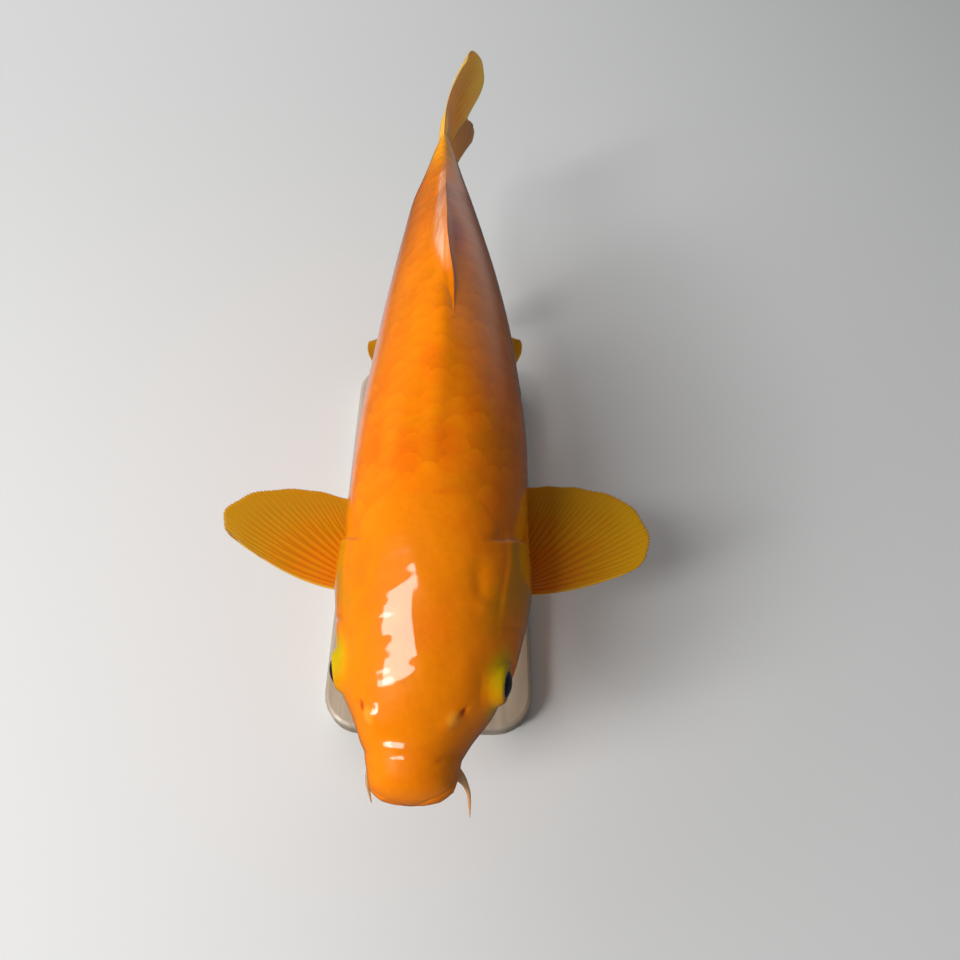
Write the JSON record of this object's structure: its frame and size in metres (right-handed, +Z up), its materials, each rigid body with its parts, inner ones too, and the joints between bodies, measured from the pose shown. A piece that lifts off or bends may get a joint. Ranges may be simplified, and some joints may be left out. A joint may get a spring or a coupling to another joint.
{
  "type": "koi carp",
  "caption": "Life-size koi carp held level on a plain display stand, with spread pectoral fins, a folded back fin, a closed mouth with barbels and a tail fin that curves to one side.",
  "frame": {"origin": "centre of the display stand's underside", "axes": "-Y the way the fish faces, +X its left side, +Z up"},
  "size_m": [0.1892, 0.4362, 0.168],
  "materials": {
    "skin": "wet golden orange scaled skin",
    "eye": "wet black eye with a thin pale ring",
    "fin": "wet rayed fin web, olive yellow towards the edge",
    "barbel": "wet soft skin",
    "stand_base": "pale satin",
    "stand_steel": "brushed"
  },
  "bodies": {
    "root": {"head": "skin", "jaw": "skin", "gill_cover_left": "skin", "gill_cover_right": "skin", "trunk": "skin", "tail_stalk": "skin", "eye_left": "eye", "eye_right": "eye", "pectoral_fin_left": "fin", "pectoral_fin_right": "fin", "pelvic_fin_left": "fin", "pelvic_fin_right": "fin", "dorsal_fin": "fin", "anal_fin": "fin", "tail_fin_upper": "fin", "tail_fin_lower": "fin", "barbel_front_left": "barbel", "barbel_front_right": "barbel", "barbel_rear_left": "barbel", "barbel_rear_right": "barbel", "stand_base": "stand_base", "stand_collar_front": "stand_steel", "stand_collar_rear": "stand_steel", "stand_rod_front": "stand_steel", "stand_rod_rear": "stand_steel"}
  },
  "joints": []
}
